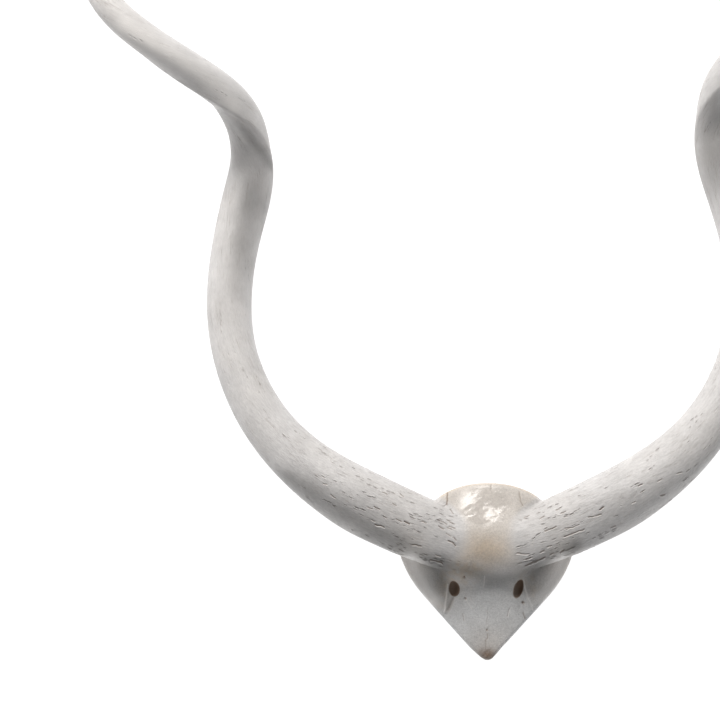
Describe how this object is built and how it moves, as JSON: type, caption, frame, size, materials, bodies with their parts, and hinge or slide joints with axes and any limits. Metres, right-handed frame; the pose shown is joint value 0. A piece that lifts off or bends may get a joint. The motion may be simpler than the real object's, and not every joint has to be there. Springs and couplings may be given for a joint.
{
  "type": "carved antelope skull cap with spiral horn cores",
  "caption": "Bleached antelope skull cap, sawn flat at the back, with a pair of long, keeled spiral horn cores.",
  "frame": {"origin": "on the flat sawn back, on the midline, level with the two small holes of the brow", "axes": "+Z out of the face, away from the sawn back; +Y from the brow towards the horn tips; +X to the right of someone who looks at the face"},
  "size_m": [0.7807, 0.8166, 0.1504],
  "materials": {
    "cap_bone": "bleached bone with a soft polish, warm on the crown",
    "horn_bone": "bleached, finely pitted bone with a soft polish"
  },
  "bodies": {
    "root": {"skull_cap": "cap_bone", "left_horn": "horn_bone", "right_horn": "horn_bone"}
  },
  "joints": []
}
